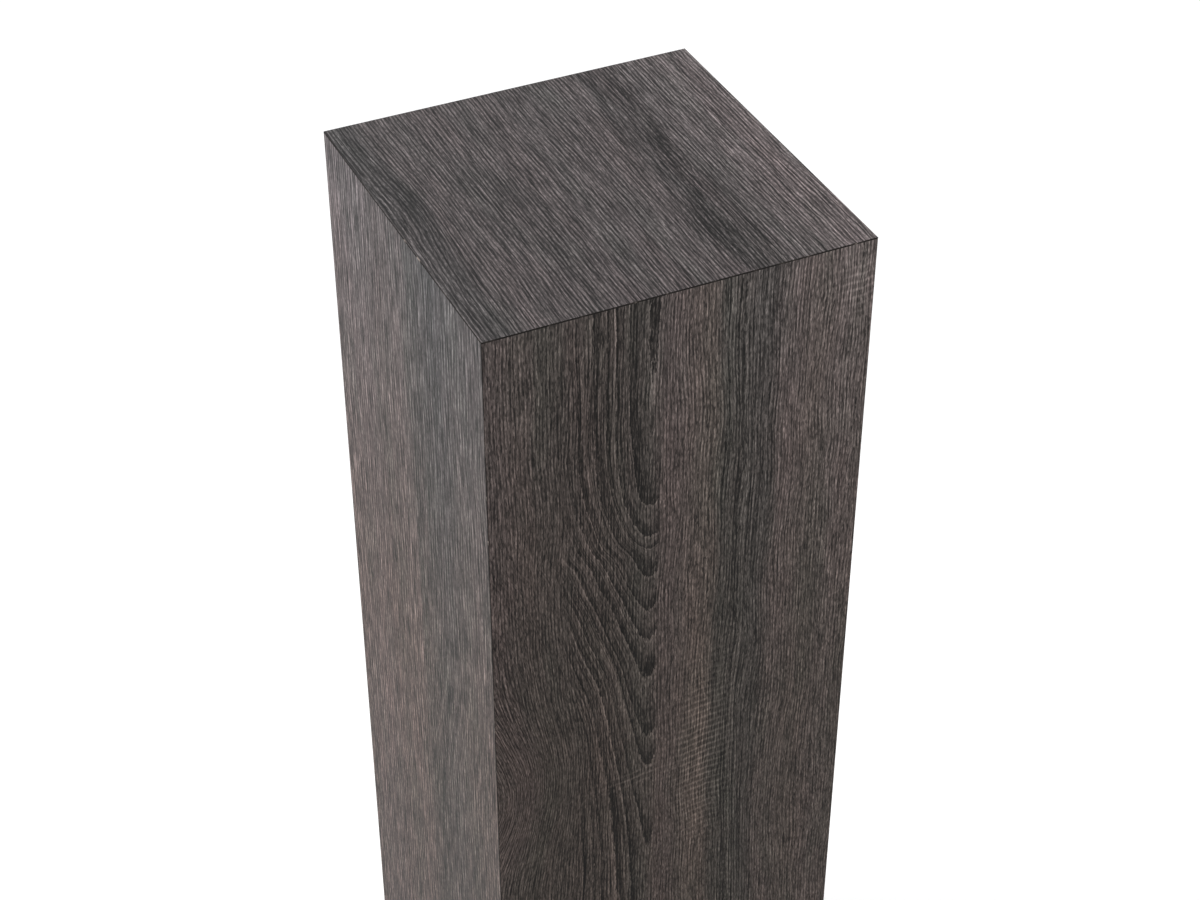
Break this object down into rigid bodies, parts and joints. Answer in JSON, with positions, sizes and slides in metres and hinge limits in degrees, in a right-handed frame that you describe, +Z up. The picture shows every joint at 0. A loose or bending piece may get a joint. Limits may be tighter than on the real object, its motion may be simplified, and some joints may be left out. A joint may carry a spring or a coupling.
{
  "type": "display plinth",
  "caption": "Tall square display plinth clad in dark grey-brown woodgrain laminate, with a flat top and concealed screw-adjusted levelling feet under an open base.",
  "frame": {"origin": "on the floor under the middle of the plinth, with the feet as set at rest", "axes": "+Z up, front is -Y, +X to the right of someone who faces the front"},
  "size_m": [0.3, 0.3, 1],
  "materials": {
    "grey_oak_laminate": "matte",
    "mdf": "matte",
    "softwood": "matte",
    "plywood": "matte",
    "beech": "matte",
    "zinc_plated_steel": "satin",
    "black_nylon": "satin",
    "rubber": "matte"
  },
  "bodies": {
    "plinth": {"top_board": "mdf", "top_laminate": "grey_oak_laminate", "front_board": "mdf", "front_laminate": "grey_oak_laminate", "back_board": "mdf", "back_laminate": "grey_oak_laminate", "left_board": "mdf", "left_laminate": "grey_oak_laminate", "right_board": "mdf", "right_laminate": "grey_oak_laminate", "corner_batten_front_left": "softwood", "corner_batten_front_right": "softwood", "corner_batten_back_left": "softwood", "corner_batten_back_right": "softwood", "top_cleat_front": "softwood", "brace_cleat_front": "softwood", "top_cleat_right": "softwood", "brace_cleat_right": "softwood", "top_cleat_back": "softwood", "brace_cleat_back": "softwood", "top_cleat_left": "softwood", "brace_cleat_left": "softwood", "brace_board": "plywood", "base_board": "plywood", "carcass_screws": "zinc_plated_steel", "batten_screws": "zinc_plated_steel", "top_cleat_screws": "zinc_plated_steel", "brace_cleat_screws": "zinc_plated_steel", "brace_screws": "zinc_plated_steel", "base_edge_screws": "zinc_plated_steel", "base_batten_screws": "zinc_plated_steel", "top_dowels": "beech", "tee_nut_front_left": "zinc_plated_steel", "tee_nut_front_right": "zinc_plated_steel", "tee_nut_back_left": "zinc_plated_steel", "tee_nut_back_right": "zinc_plated_steel"},
    "pad_front_left": {"foot_pad_front_left": "black_nylon", "foot_sole_front_left": "rubber"},
    "stud_front_left": {"foot_stud_front_left": "zinc_plated_steel"},
    "pad_front_right": {"foot_pad_front_right": "black_nylon", "foot_sole_front_right": "rubber"},
    "stud_front_right": {"foot_stud_front_right": "zinc_plated_steel"},
    "pad_back_left": {"foot_pad_back_left": "black_nylon", "foot_sole_back_left": "rubber"},
    "stud_back_left": {"foot_stud_back_left": "zinc_plated_steel"},
    "pad_back_right": {"foot_pad_back_right": "black_nylon", "foot_sole_back_right": "rubber"},
    "stud_back_right": {"foot_stud_back_right": "zinc_plated_steel"}
  },
  "joints": [
    {"name": "foot_height_front_left", "type": "slide", "parent": "plinth", "child": "pad_front_left", "axis": [0, 0, -1], "range_m": [-0.006, 0.015]},
    {"name": "foot_turn_front_left", "type": "hinge", "parent": "pad_front_left", "child": "stud_front_left", "pos_m": [-0.095, -0.095, 0.035], "axis": [0, 0, -1], "range_deg": [-1730, 4325]},
    {"name": "foot_height_front_right", "type": "slide", "parent": "plinth", "child": "pad_front_right", "axis": [0, 0, -1], "range_m": [-0.006, 0.015]},
    {"name": "foot_turn_front_right", "type": "hinge", "parent": "pad_front_right", "child": "stud_front_right", "pos_m": [0.095, -0.095, 0.035], "axis": [0, 0, -1], "range_deg": [-1730, 4325]},
    {"name": "foot_height_back_left", "type": "slide", "parent": "plinth", "child": "pad_back_left", "axis": [0, 0, -1], "range_m": [-0.006, 0.015]},
    {"name": "foot_turn_back_left", "type": "hinge", "parent": "pad_back_left", "child": "stud_back_left", "pos_m": [-0.095, 0.095, 0.035], "axis": [0, 0, -1], "range_deg": [-1730, 4325]},
    {"name": "foot_height_back_right", "type": "slide", "parent": "plinth", "child": "pad_back_right", "axis": [0, 0, -1], "range_m": [-0.006, 0.015]},
    {"name": "foot_turn_back_right", "type": "hinge", "parent": "pad_back_right", "child": "stud_back_right", "pos_m": [0.095, 0.095, 0.035], "axis": [0, 0, -1], "range_deg": [-1730, 4325]}
  ],
  "couplings": [
    {"joint": "foot_turn_front_left", "follows": "foot_height_front_left", "rad_per_m": 5026.5},
    {"joint": "foot_turn_front_right", "follows": "foot_height_front_right", "rad_per_m": 5026.5},
    {"joint": "foot_turn_back_left", "follows": "foot_height_back_left", "rad_per_m": 5026.5},
    {"joint": "foot_turn_back_right", "follows": "foot_height_back_right", "rad_per_m": 5026.5}
  ]
}
